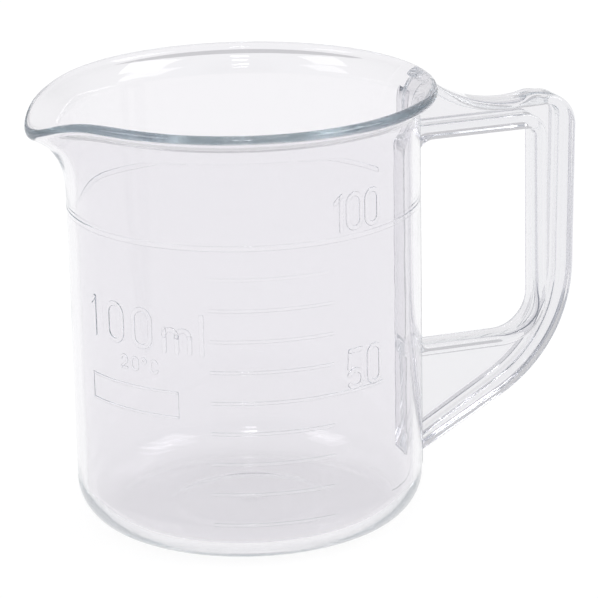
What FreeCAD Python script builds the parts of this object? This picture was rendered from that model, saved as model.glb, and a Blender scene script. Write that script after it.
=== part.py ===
"""A 100 ml clear plastic beaker with a pouring spout and an I-beam handle.

The origin is the centre of the cup's underside, +Z is up, the handle points along +X and the
spout along -X. Lengths are in millimetres. The cup holds 100 ml up to its ring line.
"""
import math
import os

import FreeCAD
import Part
import Sketcher

V = FreeCAD.Vector

# ---------------------------------------------------------------- driving dimensions
DIMENSIONS = [
    # cup
    ("cup_height", 68.0), ("wall_foot_radius", 26.95), ("wall_top_radius", 27.15),
    ("wall_thick", 1.3), ("floor_thick", 1.8), ("corner_radius", 6.5), ("base_height", 7.0),
    ("flare_start", 63.0), ("lip_radius", 30.0), ("bead_radius", 0.9),
    ("outer_flare_radius", 3.6), ("inner_flare_radius", 5.34), ("inner_bead_turn", 25.0),
    # pouring spout
    ("spout_foot", 50.0), ("spout_half_angle", 48.0), ("spout_reach", 32.9), ("spout_droop", 2.9),
    # handle
    ("handle_width", 5.2), ("web_thick", 1.6), ("pad_thick", 0.25), ("pad_angle", 31.0),
    ("pad_foot_angle", 62.0), ("grip_outer_x", 54.65), ("grip_outer_x_low", 54.2), ("grip_rail", 3.15),
    ("crest_z", 62.12), ("dip_z", 61.76), ("dip_x", 43.0), ("thumb_radius", 19.6),
    ("crest_radius", 21.8), ("top_rail", 1.7), ("outer_corner_radius", 5.2),
    ("elbow_z", 34.6), ("elbow_radius", 24.0), ("brace_angle", 28.7), ("brace_rail", 3.2),
    ("brace_inner_angle", 30.6),
    ("gap_top", 56.8), ("gap_bottom", 23.6), ("gap_outer_x", 47.6), ("gap_corner_radius", 5.8),
    ("root_fillet_top", 2.8), ("root_fillet_low", 1.3), ("rib_thick", 0.7), ("rib_top", 64.5),
    ("rib_foot", 5.7),
    ("inner_rail_top", 2.6), ("inner_rail_grip", 2.0), ("inner_rail_bottom", 1.8),
    # raised marks
    ("mark_proud", 0.22), ("line_high", 0.5), ("ring_high", 0.8), ("ring_proud", 0.28),
    ("scale_start", -120.0), ("scale_span", 39.5), ("half_line_span", 60.0),
    ("digit_high", 6.3), ("digit_wide", 3.6), ("digit_stroke", 0.5),
    ("small_high", 2.2), ("small_stroke", 0.32),
]
SIZE = dict(DIMENSIONS)
FULL_ML, STEP_ML, HALF_ML = 100, 10, 50

doc = FreeCAD.newDocument("Beaker")
sheet = doc.addObject("Spreadsheet::Sheet", "Dimensions")
for row, (alias, number) in enumerate(DIMENSIONS, start=1):
    sheet.set("A%d" % row, alias)
    sheet.set("B%d" % row, str(number))
    sheet.setAlias("B%d" % row, alias)
doc.recompute()


def bound(expression):
    """The expression with each dimension's name pointing at its cell in the sheet."""
    words, word = [], ""
    for letter in expression + " ":
        if letter.isalnum() or letter == "_":
            word += letter
            continue
        words.append("Dimensions." + word if word in SIZE else word)
        words.append(letter)
        word = ""
    return "".join(words).strip()


def number_of(expression):
    return float(sheet.evalExpression(bound(expression)))


# ---------------------------------------------------------------- sketches and bodies
def new_body(label):
    body = doc.addObject("PartDesign::Body", label)
    body.Label = label
    return body


def plane_of(body, role="XZ_Plane"):
    return next(feature for feature in body.Origin.OriginFeatures if feature.Role == role)


def arc_between(start, end, radius, turn):
    """The short arc from start to end; turn is 1 if it runs anticlockwise, else -1."""
    chord = end - start
    middle = (start + end) * 0.5
    away = V(-chord.y, chord.x, 0).normalize() * turn
    rise = math.sqrt(max(radius ** 2 - (chord.Length / 2) ** 2, 0.0))
    centre = middle + away * rise
    first, last = (start, end) if turn > 0 else (end, start)
    angle_first = math.atan2(first.y - centre.y, first.x - centre.x)
    angle_last = math.atan2(last.y - centre.y, last.x - centre.x)
    if angle_last < angle_first:
        angle_last += 2 * math.pi
    circle = Part.Circle(centre, V(0, 0, 1), radius)
    return Part.ArcOfCircle(circle, angle_first, angle_last)


def closed_sketch(body, name, corners):
    """A closed outline on the body's XZ plane.

    Each corner is (x, z) or (x, z, radius, turn), where the last two make the edge that leaves
    that corner an arc. All but turn are expressions of the sheet's dimensions.
    """
    sketch = body.newObject("Sketcher::SketchObject", name)
    sketch.AttachmentSupport = (plane_of(body), [""])
    sketch.MapMode = "FlatFace"
    points = [V(number_of(c[0]), number_of(c[1]), 0) for c in corners]
    ends = []                                     # (start position, end position) of each edge
    for i, corner in enumerate(corners):
        start, end = points[i], points[(i + 1) % len(points)]
        if len(corner) == 2:
            sketch.addGeometry(Part.LineSegment(start, end), False)
            ends.append((1, 2))
        else:
            arc = arc_between(start, end, number_of(corner[2]), corner[3])
            sketch.addGeometry(arc, False)
            ends.append((1, 2) if corner[3] > 0 else (2, 1))
    for i in range(len(corners)):
        following = (i + 1) % len(corners)
        sketch.addConstraint(Sketcher.Constraint(
            "Coincident", i, ends[i][1], following, ends[following][0]))
    for i, corner in enumerate(corners):
        for kind, axis, text in (("DistanceX", -2, corner[0]), ("DistanceY", -1, corner[1])):
            if text == "0":
                sketch.addConstraint(Sketcher.Constraint("PointOnObject", i, ends[i][0], axis))
                continue
            index = sketch.addConstraint(Sketcher.Constraint(
                kind, -1, 1, i, ends[i][0], number_of(text)))
            sketch.setExpression("Constraints[%d]" % index, bound(text))
        if len(corner) > 2:
            index = sketch.addConstraint(Sketcher.Constraint("Radius", i, number_of(corner[2])))
            sketch.setExpression("Constraints[%d]" % index, bound(corner[2]))
    return sketch


def turned(body, sketch, kind="Revolution", angle="360", midplane=False):
    """Revolve a sketch about the cup's axis, as added or as cut material."""
    feature = body.newObject("PartDesign::" + kind, kind)
    feature.Profile = sketch
    feature.ReferenceAxis = (sketch, ["V_Axis"])
    feature.setExpression("Angle", bound(angle))
    feature.Midplane = midplane
    return feature


def padded(body, sketch, width):
    feature = body.newObject("PartDesign::Pad", "Pad")
    feature.Profile = sketch
    feature.setExpression("Length", bound(width))
    feature.Midplane = True
    return feature


# ---------------------------------------------------------------- wall arithmetic
def wall_radius(z):
    """The wall's outside radius at a height."""
    along = (z - SIZE["base_height"]) / (SIZE["flare_start"] - SIZE["base_height"])
    return SIZE["wall_foot_radius"] + (SIZE["wall_top_radius"] - SIZE["wall_foot_radius"]) * along


def held_volume(z):
    """Millilitres held up to a height inside the cup."""
    inner_corner = SIZE["base_height"] - SIZE["floor_thick"]
    foot = SIZE["wall_foot_radius"] - SIZE["wall_thick"]
    inside = wall_radius(z) - SIZE["wall_thick"]
    straight = math.pi * (z - SIZE["base_height"]) * (foot ** 2 + foot * inside + inside ** 2) / 3
    flat = foot - inner_corner
    corner = math.pi * (flat ** 2 * inner_corner + flat * math.pi * inner_corner ** 2 / 2
                        + 2 * inner_corner ** 3 / 3)
    return (straight + corner) / 1000.0


def height_of(millilitres):
    """The height of a fill line, by halving the interval that holds it."""
    low, high = SIZE["floor_thick"], SIZE["flare_start"]
    for _ in range(50):
        middle = (low + high) / 2
        if held_volume(middle) < millilitres:
            low = middle
        else:
            high = middle
    return round((low + high) / 2, 3)


def wall_radius_text(z_text, extra="0"):
    """The wall's outside radius at a height, plus extra, as an expression."""
    return ("wall_foot_radius + (wall_top_radius - wall_foot_radius)"
            " * ((%s) - base_height) / (flare_start - base_height) + (%s)" % (z_text, extra))


# ---------------------------------------------------------------- the cup
def make_floor():
    """The flat disc that the beaker stands on."""
    body = new_body("floor")
    sketch = closed_sketch(body, "FloorProfile", [
        ("0", "0"),
        ("wall_foot_radius - corner_radius", "0"),
        ("wall_foot_radius - corner_radius", "floor_thick"),
        ("0", "floor_thick"),
    ])
    turned(body, sketch)
    return body


def make_base_corner():
    """The rounded ring that turns the floor up into the wall."""
    body = new_body("base_corner")
    sketch = closed_sketch(body, "CornerProfile", [
        ("wall_foot_radius - corner_radius", "0", "corner_radius", 1),
        ("wall_foot_radius", "corner_radius"),
        ("wall_foot_radius", "base_height"),
        ("wall_foot_radius - wall_thick", "base_height", "base_height - floor_thick", -1),
        ("wall_foot_radius - wall_thick - base_height + floor_thick", "floor_thick"),
    ])
    turned(body, sketch)
    return body


def make_side_wall():
    """The tapered tube above the base, notched where the spout grows out of it."""
    body = new_body("side_wall")
    tube = closed_sketch(body, "WallProfile", [
        ("wall_foot_radius", "base_height"),
        ("wall_top_radius", "flare_start"),
        ("wall_top_radius - wall_thick", "flare_start"),
        ("wall_foot_radius - wall_thick", "base_height"),
    ])
    turned(body, tube)
    notch = closed_sketch(body, "SpoutNotch", [
        ("-wall_top_radius - 2", "spout_foot"),
        ("-wall_top_radius - 2", "flare_start + 1"),
        ("-wall_top_radius + wall_thick + 2", "flare_start + 1"),
        ("-wall_top_radius + wall_thick + 2", "spout_foot"),
    ])
    turned(body, notch, "Groove", "2 * spout_half_angle", midplane=True)
    return body


RIM_CORNERS = [
    ("wall_top_radius", "flare_start", "outer_flare_radius", -1),
    ("lip_radius - bead_radius", "cup_height - 2 * bead_radius", "bead_radius", 1),
    ("lip_radius", "cup_height - bead_radius", "bead_radius", 1),
    ("lip_radius - bead_radius", "cup_height", "bead_radius", 1),
    ("lip_radius - bead_radius - bead_radius * cos(inner_bead_turn)",
     "cup_height - bead_radius + bead_radius * sin(inner_bead_turn)", "inner_flare_radius", 1),
    ("wall_top_radius - wall_thick", "flare_start"),
]


def make_rim():
    """The outward flare and its rounded bead, open at the spout."""
    body = new_body("rim")
    sketch = closed_sketch(body, "RimProfile", RIM_CORNERS)
    turned(body, sketch, angle="360 - 2 * spout_half_angle", midplane=True)
    return body


def bezier(control, t):
    a, b, c, d = control
    s = 1 - t
    return tuple(s ** 3 * a[k] + 3 * s * s * t * b[k] + 3 * s * t * t * c[k] + t ** 3 * d[k]
                 for k in (0, 1))


def wall_centreline(t):
    """The middle of the wall and flare, from the spout's foot (0) to the lip (1)."""
    lip = (SIZE["lip_radius"] - SIZE["bead_radius"], SIZE["cup_height"] - SIZE["bead_radius"])
    straight = SIZE["flare_start"] - SIZE["spout_foot"]
    radius = (SIZE["outer_flare_radius"] + SIZE["inner_flare_radius"]) / 2
    start_r = SIZE["wall_top_radius"] - SIZE["wall_thick"] / 2
    sweep = math.asin((lip[1] - SIZE["flare_start"]) / radius)
    length = straight + radius * sweep
    along = t * length
    if along <= straight:
        z = SIZE["spout_foot"] + along
        return wall_radius(z) - SIZE["wall_thick"] / 2, z
    angle = (along - straight) / radius
    squeeze = (lip[0] - start_r) / (radius * (1 - math.cos(sweep)))
    return (start_r + squeeze * radius * (1 - math.cos(angle)),
            SIZE["flare_start"] + radius * math.sin(angle))


def spout_centreline(t):
    """The middle of the spout's wall in the plane of symmetry."""
    foot = wall_centreline(0.0)
    tip = (SIZE["spout_reach"], SIZE["cup_height"] - SIZE["bead_radius"] - SIZE["spout_droop"])
    rise = tip[1] - foot[1]
    return bezier((foot, (foot[0], foot[1] + 0.5 * rise),
                   (foot[0] + 1.8, foot[1] + 0.82 * rise), tip), t)


def smooth_fall(angle, sharpness):
    """1 at the spout's middle, falling smoothly to 0 at its sides."""
    t = max(0.0, 1 - abs(angle) / SIZE["spout_half_angle"])
    return (t * t * (3 - 2 * t)) ** sharpness


def spout_section(angle, rows=12, bead_rows=6):
    """Three lists of (radius, z): outside, bead and inside, at an angle from the spout's middle."""
    out_weight, droop_weight = smooth_fall(angle, 2.5), smooth_fall(angle, 4.9)

    def middle(t):
        plain, pulled = wall_centreline(t), spout_centreline(t)
        return (plain[0] + (pulled[0] - plain[0]) * out_weight,
                plain[1] + (pulled[1] - plain[1]) * droop_weight)

    outside, inside = [], []
    half = SIZE["wall_thick"] / 2
    small = 1e-3
    for i in range(rows):
        t = i / rows * 0.97
        here, ahead = middle(t), middle(t + small)
        heading = math.atan2(ahead[1] - here[1], ahead[0] - here[0]) if t else math.pi / 2
        across = (math.sin(heading) * half, -math.cos(heading) * half)
        outside.append((here[0] + across[0], here[1] + across[1]))
        inside.append((here[0] - across[0], here[1] - across[1]))
    tip, behind = middle(1.0), middle(1.0 - small)
    heading = math.degrees(math.atan2(tip[1] - behind[1], tip[0] - behind[0]))
    bead = []
    for i in range(bead_rows + 1):
        turn = math.radians(heading - 120 + 240 * i / bead_rows)
        bead.append((tip[0] + SIZE["bead_radius"] * math.cos(turn),
                     tip[1] + SIZE["bead_radius"] * math.sin(turn)))
    return outside + [bead[0]], bead, [bead[-1]] + inside[::-1]


def make_spout():
    """The pulled-out part of the wall and rim, lofted through radial sections."""
    stations = 16
    wires = []
    for i in range(stations + 1):
        angle = SIZE["spout_half_angle"] * (2 * i / stations - 1)
        azimuth = math.pi + math.radians(angle)
        edges = []
        for outline in spout_section(angle):
            points = [V(r * math.cos(azimuth), r * math.sin(azimuth), z) for r, z in outline]
            curve = Part.BSplineCurve()
            curve.interpolate(points)
            edges.append(curve.toShape())
        first, last = edges[0].firstVertex().Point, edges[-1].lastVertex().Point
        edges.append(Part.LineSegment(last, first).toShape())
        wires.append(Part.Wire(edges))
    spout = doc.addObject("Part::Feature", "spout")
    spout.Label = "spout"
    spout.Shape = Part.makeLoft(wires, True, False)
    return spout


# ---------------------------------------------------------------- the handle
def clear_of_cup(body):
    """Cut the cup's own space, and the handle pad's, out of a handle piece."""
    cut = closed_sketch(body, "CupSpace", [
        ("0", "-1"),
        (wall_radius_text("-1", "pad_thick"), "-1"),
        (wall_radius_text("flare_start", "pad_thick"), "flare_start"),
        ("wall_top_radius", "flare_start", "outer_flare_radius", -1),
        ("lip_radius - bead_radius", "cup_height - 2 * bead_radius", "bead_radius", 1),
        ("lip_radius", "cup_height - bead_radius"),
        ("lip_radius", "cup_height + 1"),
        ("0", "cup_height + 1"),
    ])
    turned(body, cut, "Groove")


def corner_point(angle, extra="0"):
    """A point on the base's rounded corner, this many degrees below its middle height."""
    radius = "(corner_radius + (%s))" % extra
    return ("wall_foot_radius - corner_radius + %s * cos(%s)" % (radius, angle),
            "corner_radius - %s * sin(%s)" % (radius, angle))


def make_handle_pad():
    """The thin raised land on the wall and base corner that the handle grows from."""
    body = new_body("handle_pad")
    thick_corner = "corner_radius + pad_thick"
    sketch = closed_sketch(body, "PadProfile", [
        corner_point("pad_foot_angle", "pad_thick") + (thick_corner, 1),
        corner_point("0", "pad_thick"),
        (wall_radius_text("base_height", "pad_thick"), "base_height"),
        (wall_radius_text("flare_start", "pad_thick"), "flare_start"),
        ("wall_top_radius", "flare_start"),
        ("wall_foot_radius", "base_height"),
        corner_point("0") + ("corner_radius", -1),
        corner_point("pad_foot_angle"),
    ])
    turned(body, sketch, angle="pad_angle", midplane=True)
    return body


def make_root_rib():
    """The flange along the wall that closes the handle's frame."""
    body = new_body("handle_root_rib")
    sketch = closed_sketch(body, "Rib", [
        ("wall_foot_radius - 1", "rib_foot"),
        (ROOT_X, "rib_foot"),
        (ROOT_X, "rib_top"),
        ("wall_foot_radius - 1", "rib_top"),
    ])
    padded(body, sketch, "handle_width")
    clear_of_cup(body)
    return body


# Where the outer rail's outline turns, in the handle's plane.
ROOT_X = "wall_top_radius + rib_thick"
RAIL_START_X = "wall_top_radius + rib_thick + 0.1"
THUMB_END_X = "dip_x + 2.6"
CORNER_X = "grip_outer_x - outer_corner_radius"
OUTER_ELBOW_X = "grip_outer_x_low - elbow_radius * (1 - sin(brace_angle))"
OUTER_ELBOW_Z = "elbow_z - elbow_radius * cos(brace_angle)"
INNER_ELBOW_RADIUS = "elbow_radius - brace_rail"
INNER_ELBOW_X = ("grip_outer_x_low - elbow_radius + (%s) * sin(brace_inner_angle)"
                 % INNER_ELBOW_RADIUS)
INNER_ELBOW_Z = "elbow_z - (%s) * cos(brace_inner_angle)" % INNER_ELBOW_RADIUS


def thumb_z(x_text, drop="0"):
    """The height of the thumb rest's hollow, and of arcs concentric with it."""
    return ("dip_z + thumb_radius - sqrt((thumb_radius + (%s)) * (thumb_radius + (%s))"
            " - ((%s) - dip_x) * ((%s) - dip_x))" % (drop, drop, x_text, x_text))


def brace_z(x_text):
    """The height of the brace's underside."""
    return "(%s) - ((%s) - (%s)) * tan(brace_angle)" % (OUTER_ELBOW_Z, OUTER_ELBOW_X, x_text)


def brace_inner_z(x_text):
    """The height of the brace's upper side, which tapers it a little towards the wall."""
    return "(%s) - ((%s) - (%s)) * tan(brace_inner_angle)" % (INNER_ELBOW_Z, INNER_ELBOW_X, x_text)


def make_outer_rail():
    """The thumb rest, the grip's outside and the brace, as one bent flange."""
    body = new_body("handle_outer_rail")
    low_inner_x = "grip_outer_x_low - brace_rail"
    sketch = closed_sketch(body, "OuterRail", [
        (RAIL_START_X, thumb_z(RAIL_START_X), "thumb_radius", 1),
        (THUMB_END_X, thumb_z(THUMB_END_X), "crest_radius", -1),
        (CORNER_X, "crest_z", "outer_corner_radius", -1),
        ("grip_outer_x", "crest_z - outer_corner_radius"),
        ("grip_outer_x_low", "elbow_z", "elbow_radius", -1),
        (OUTER_ELBOW_X, OUTER_ELBOW_Z),
        (ROOT_X, brace_z(ROOT_X)),
        (ROOT_X, brace_inner_z(ROOT_X)),
        (INNER_ELBOW_X, INNER_ELBOW_Z, INNER_ELBOW_RADIUS, 1),
        (low_inner_x, "elbow_z"),
        ("grip_outer_x - grip_rail", "crest_z - top_rail - 1.8", "1.8", 1),
        ("grip_outer_x - grip_rail - 1.8", "crest_z - top_rail"),
        ("dip_x", "dip_z - top_rail + 0.2", "thumb_radius + top_rail - 0.2", -1),
        (RAIL_START_X, thumb_z(RAIL_START_X, "top_rail - 0.2")),
    ])
    padded(body, sketch, "handle_width")
    clear_of_cup(body)
    return body


INNER_TOP = "gap_top + inner_rail_top"
INNER_RIGHT = "gap_outer_x + inner_rail_grip"
INNER_BOTTOM = "gap_bottom - inner_rail_bottom"


def make_inner_rail():
    """The flange around the finger gap."""
    body = new_body("handle_inner_rail")
    sketch = closed_sketch(body, "InnerRail", [
        (ROOT_X, INNER_TOP),
        (ROOT_X, "gap_top - root_fillet_top", "root_fillet_top", -1),
        (ROOT_X + " + root_fillet_top", "gap_top"),
        ("gap_outer_x", "gap_top"),
        ("gap_outer_x", "gap_bottom + gap_corner_radius", "gap_corner_radius", -1),
        ("gap_outer_x - gap_corner_radius", "gap_bottom"),
        (ROOT_X + " + root_fillet_low", "gap_bottom", "root_fillet_low", -1),
        (ROOT_X, "gap_bottom + root_fillet_low"),
        (ROOT_X, INNER_BOTTOM),
        ("gap_outer_x - gap_corner_radius", INNER_BOTTOM,
         "gap_corner_radius + inner_rail_grip", 1),
        (INNER_RIGHT, "gap_bottom + gap_corner_radius"),
        (INNER_RIGHT, INNER_TOP + " - 3.8", "3.8", 1),
        (INNER_RIGHT + " - 3.8", INNER_TOP),
    ])
    padded(body, sketch, "handle_width")
    clear_of_cup(body)
    return body


def make_web():
    """The thin plate between the two rails."""
    body = new_body("handle_web")
    sketch = closed_sketch(body, "Web", [
        (ROOT_X, thumb_z(RAIL_START_X, "top_rail - 0.2")),
        (RAIL_START_X, thumb_z(RAIL_START_X, "top_rail - 0.2"),
         "thumb_radius + top_rail - 0.2", 1),
        ("dip_x", "dip_z - top_rail + 0.2"),
        ("grip_outer_x - grip_rail - 1.8", "crest_z - top_rail", "1.8", -1),
        ("grip_outer_x - grip_rail", "crest_z - top_rail - 1.8"),
        ("grip_outer_x_low - brace_rail", "elbow_z", INNER_ELBOW_RADIUS, -1),
        (INNER_ELBOW_X, INNER_ELBOW_Z),
        (ROOT_X, brace_inner_z(ROOT_X)),
        (ROOT_X, INNER_BOTTOM),
        ("gap_outer_x - gap_corner_radius", INNER_BOTTOM,
         "gap_corner_radius + inner_rail_grip", 1),
        (INNER_RIGHT, "gap_bottom + gap_corner_radius"),
        (INNER_RIGHT, INNER_TOP + " - 3.8", "3.8", 1),
        (INNER_RIGHT + " - 3.8", INNER_TOP),
        (ROOT_X, INNER_TOP),
    ])
    padded(body, sketch, "web_thick")
    clear_of_cup(body)
    return body


# ---------------------------------------------------------------- raised marks
def make_line(label, millilitres, high, proud, start, span):
    """A raised line on the wall at a fill height, running from azimuth start through span."""
    body = new_body(label)
    z = height_of(millilitres)
    low, top = "%.3f - %s / 2" % (z, high), "%.3f + %s / 2" % (z, high)
    sketch = closed_sketch(body, "LineProfile", [
        (wall_radius_text(low), low),
        (wall_radius_text(low, proud), low + " + 0.1"),
        (wall_radius_text(top, proud), top + " - 0.1"),
        (wall_radius_text(top), top),
    ])
    turned(body, sketch, angle=span, midplane=True)
    middle = start + number_of(span) / 2
    body.Placement = FreeCAD.Placement(V(0, 0, 0), FreeCAD.Rotation(V(0, 0, 1), middle))
    return body


def stroke_line(x1, y1, x2, y2, width):
    """A straight stroke with round ends."""
    start, end = V(x1, y1, 0), V(x2, y2, 0)
    along = (end - start).normalize() * (width / 2)
    side = V(-along.y, along.x, 0)
    edges = [
        Part.LineSegment(start + side, end + side).toShape(),
        Part.Arc(end + side, end + along, end - side).toShape(),
        Part.LineSegment(end - side, start - side).toShape(),
        Part.Arc(start - side, start - along, start + side).toShape(),
    ]
    return Part.Face(Part.Wire(edges))


def stroke_arc(x, y, radius, first, last, width):
    """An arc-shaped stroke between two angles in degrees."""
    outer, inner = radius + width / 2, radius - width / 2
    if last - first >= 360:
        ring = [Part.Wire(Part.Circle(V(x, y, 0), V(0, 0, 1), r).toShape())
                for r in (outer, inner)]
        return Part.Face(ring[0]).cut(Part.Face(ring[1])).Faces[0]
    arcs = [Part.ArcOfCircle(Part.Circle(V(x, y, 0), V(0, 0, 1), r),
                             math.radians(first), math.radians(last)) for r in (outer, inner)]
    edges = [
        arcs[0].toShape(),
        Part.LineSegment(arcs[0].EndPoint, arcs[1].EndPoint).toShape(),
        arcs[1].toShape(),
        Part.LineSegment(arcs[1].StartPoint, arcs[0].StartPoint).toShape(),
    ]
    return Part.Face(Part.Wire(Part.__sortEdges__(edges)))


def glyph(kind, wide, high, width):
    """The strokes of one character, centred on its own middle."""
    w, h = (wide - width) / 2, (high - width) / 2
    if kind == "0":
        return [stroke_arc(0, h - w, w, 0, 180, width), stroke_arc(0, w - h, w, 180, 360, width),
                stroke_line(-w, w - h, -w, h - w, width), stroke_line(w, w - h, w, h - w, width)]
    if kind == "1":
        return [stroke_line(0, -h, 0, h, width), stroke_line(0, h, -1, h - 0.9, width)]
    if kind == "2":
        return [stroke_arc(0, h - w, w, -35, 170, width),
                stroke_line(0.8 * w, h - 1.6 * w, -w, -h, width),
                stroke_line(-w, -h, w, -h, width)]
    if kind == "5":
        bowl = w * 1.08
        return [stroke_line(0.9 * w, h, -0.85 * w, h, width),
                stroke_line(-0.85 * w, h, -w, 0.1 * h, width),
                stroke_arc(-0.08 * w, bowl - h, bowl, -140, 148, width)]
    if kind == "C":
        return [stroke_arc(0, h - w, w, 20, 180, width), stroke_arc(0, w - h, w, 180, 340, width),
                stroke_line(-w, w - h, -w, h - w, width)]
    if kind == "degree":
        return [stroke_arc(0, 0, w, 0, 360, width)]
    if kind == "m":
        bow = w / 2
        return [stroke_line(x, -h, x, h - bow, width) for x in (-w, 0, w)] + \
               [stroke_line(-w, h - bow, -w, h, width)] + \
               [stroke_arc(x, h - bow, bow, 0, 180, width) for x in (-bow, bow)]
    if kind == "frame":
        return [stroke_line(-w, y, w, y, width) for y in (-h, h)] + \
               [stroke_line(x, -h, x, h, width) for x in (-w, w)]
    return [stroke_line(0, -h, 0, h, width)]


def mark_shell(low, top):
    """The thin skin on the wall, between two heights, that raised marks fill."""
    corners = [(wall_radius(low), low), (wall_radius(low) + SIZE["mark_proud"], low),
               (wall_radius(top) + SIZE["mark_proud"], top), (wall_radius(top), top)]
    outline = Part.makePolygon([V(r, 0, z) for r, z in corners + corners[:1]])
    skin = Part.Face(outline).revolve(V(0, 0, 0), V(0, 0, 1), 200)
    skin.rotate(V(0, 0, 0), V(0, 0, 1), -200)
    return skin


def make_mark(label, characters):
    """Raised characters on the wall: (kind, azimuth, height, wide, high, stroke) for each."""
    solids = []
    for kind, azimuth, z, wide, high, width in characters:
        strokes = glyph(kind, wide, high, width)
        bars = [stroke.extrude(V(0, 0, 8)) for stroke in strokes]
        block = bars[0].multiFuse(bars[1:]).removeSplitter() if bars[1:] else bars[0]
        block.Placement = FreeCAD.Placement(V(23, 0, z), FreeCAD.Rotation(
            V(0, 1, 0), V(0, 0, 1), V(1, 0, 0), "ZXY")).multiply(block.Placement)
        block.rotate(V(0, 0, 0), V(0, 0, 1), azimuth)
        solids.extend(block.common(mark_shell(z - high, z + high)).Solids)
    mark = doc.addObject("Part::Feature", label)
    mark.Label = label
    mark.Shape = solids[0] if len(solids) == 1 else Part.makeCompound(solids)
    return mark


def make_wide_mark(label, first, last, low, top, width):
    """A plain raised frame wrapped on the wall between two azimuths and two heights."""
    pieces = []
    for z in (low, top):
        band = mark_shell(z - width / 2, z + width / 2)
        pieces.append((band, first, last))
    upright = math.degrees(width / SIZE["wall_top_radius"])
    for azimuth in (first, last - upright):
        pieces.append((mark_shell(low - width / 2, top + width / 2), azimuth, azimuth + upright))
    solids = []
    for band, start, end in pieces:
        wedge = Part.makeCylinder(40, SIZE["cup_height"], V(0, 0, 0), V(0, 0, 1), end - start)
        wedge.rotate(V(0, 0, 0), V(0, 0, 1), start)
        solids.append(band.common(wedge))
    mark = doc.addObject("Part::Feature", label)
    mark.Label = label
    mark.Shape = solids[0].multiFuse(solids[1:]).removeSplitter()
    return mark


def make_marks():
    """The fill lines, their numerals, the capacity and the plain label."""
    stroke, digit_high = SIZE["digit_stroke"], SIZE["digit_high"]
    wide, narrow = SIZE["digit_wide"], SIZE["digit_wide"] - 0.6
    small, thin = SIZE["small_high"], SIZE["small_stroke"]
    made = [make_line("ring_line_100", FULL_ML, "ring_high", "ring_proud",
                      SIZE["pad_angle"] / 2, "360 - pad_angle")]
    for millilitres in range(STEP_ML, FULL_ML, STEP_ML):
        span = "half_line_span" if millilitres == HALF_ML else "scale_span"
        made.append(make_line("graduation_%d" % millilitres, millilitres, "line_high",
                              "mark_proud", SIZE["scale_start"], span))
    made.append(make_mark("numeral_100", [
        ("1", -76.6, 54.2, narrow, 5.7, stroke), ("0", -71.4, 54.2, narrow, 5.7, stroke),
        ("0", -63.9, 54.2, narrow, 5.7, stroke)]))
    made.append(make_mark("numeral_50", [
        ("5", -71.7, 29.7, narrow, digit_high, stroke),
        ("0", -63.7, 29.7, narrow, digit_high, stroke)]))
    made.append(make_mark("capacity_mark", [
        ("1", -165.5, 37.0, wide, digit_high, stroke),
        ("0", -155.2, 37.0, wide, digit_high, stroke),
        ("0", -143.9, 37.0, wide, digit_high, stroke),
        ("m", -131.2, 35.75, 4.6, 3.9, stroke),
        ("l", -122.9, 36.9, wide, digit_high, stroke)]))
    made.append(make_mark("calibration_mark", [
        ("2", -151.5, 31.2, 1.5, small, thin), ("0", -147.0, 31.2, 1.5, small, thin),
        ("degree", -143.4, 31.9, 0.95, 0.95, 0.28), ("C", -139.6, 31.2, 1.5, small, thin)]))
    made.append(make_wide_mark("blank_label", -168.0, -131.5, 23.7, 27.6, thin))
    return made


# ---------------------------------------------------------------- build, check and save
nodes = [make_floor(), make_base_corner(), make_side_wall(), make_rim(), make_spout(),
         make_handle_pad(), make_root_rib(), make_outer_rail(), make_inner_rail(),
         make_web()] + make_marks()
doc.recompute()
for item in doc.Objects:
    if "Invalid" in item.State or "Error" in item.State:
        raise RuntimeError("%s did not build: %s" % (item.Label, item.State))
os.makedirs("parts", exist_ok=True)
for node in nodes:
    if node.Shape.isNull() or not node.Shape.isValid():
        raise RuntimeError("%s has no valid shape" % node.Label)
    node.Shape.exportStep("parts/%s.step" % node.Label)
    bounds = node.Shape.BoundBox
    print("%-20s %10.2f mm3  x %.2f..%.2f  y %.2f..%.2f  z %.2f..%.2f" % (
        node.Label, node.Shape.Volume, bounds.XMin, bounds.XMax, bounds.YMin, bounds.YMax,
        bounds.ZMin, bounds.ZMax))
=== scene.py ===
"""Looks of the clear plastic beaker: moulded shapes, clear material, floor, light and camera.

The cup, with its rim, spout and pad, is one closed piece, and the handle another. The handle and
the raised marks are sunk a fraction of a millimetre into the cup's wall, so light passes between
them as through one moulding. Lengths are in millimetres until a mesh is made, and angles are in
degrees. Azimuths are measured from +X, the handle's side, and heights from the underside.
"""

import math

import bmesh
import bpy
import numpy as np
from mathutils import Matrix, Vector


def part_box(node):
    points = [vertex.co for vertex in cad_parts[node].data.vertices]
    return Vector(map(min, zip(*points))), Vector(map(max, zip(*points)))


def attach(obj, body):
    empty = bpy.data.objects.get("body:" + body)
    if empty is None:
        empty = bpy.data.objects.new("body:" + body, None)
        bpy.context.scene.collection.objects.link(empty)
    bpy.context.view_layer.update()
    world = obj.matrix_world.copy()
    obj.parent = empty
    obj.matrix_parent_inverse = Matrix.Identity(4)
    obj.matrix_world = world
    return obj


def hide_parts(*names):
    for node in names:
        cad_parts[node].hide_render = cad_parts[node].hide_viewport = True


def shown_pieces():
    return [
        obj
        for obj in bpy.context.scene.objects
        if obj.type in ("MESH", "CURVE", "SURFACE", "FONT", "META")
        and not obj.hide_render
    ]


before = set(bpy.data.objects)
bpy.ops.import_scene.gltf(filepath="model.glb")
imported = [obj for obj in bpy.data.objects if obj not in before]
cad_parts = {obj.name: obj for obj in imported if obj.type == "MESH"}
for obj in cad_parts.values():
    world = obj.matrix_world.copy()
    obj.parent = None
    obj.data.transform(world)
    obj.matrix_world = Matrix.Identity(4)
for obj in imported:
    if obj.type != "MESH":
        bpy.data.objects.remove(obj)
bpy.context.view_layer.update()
MM = 0.001


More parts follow.
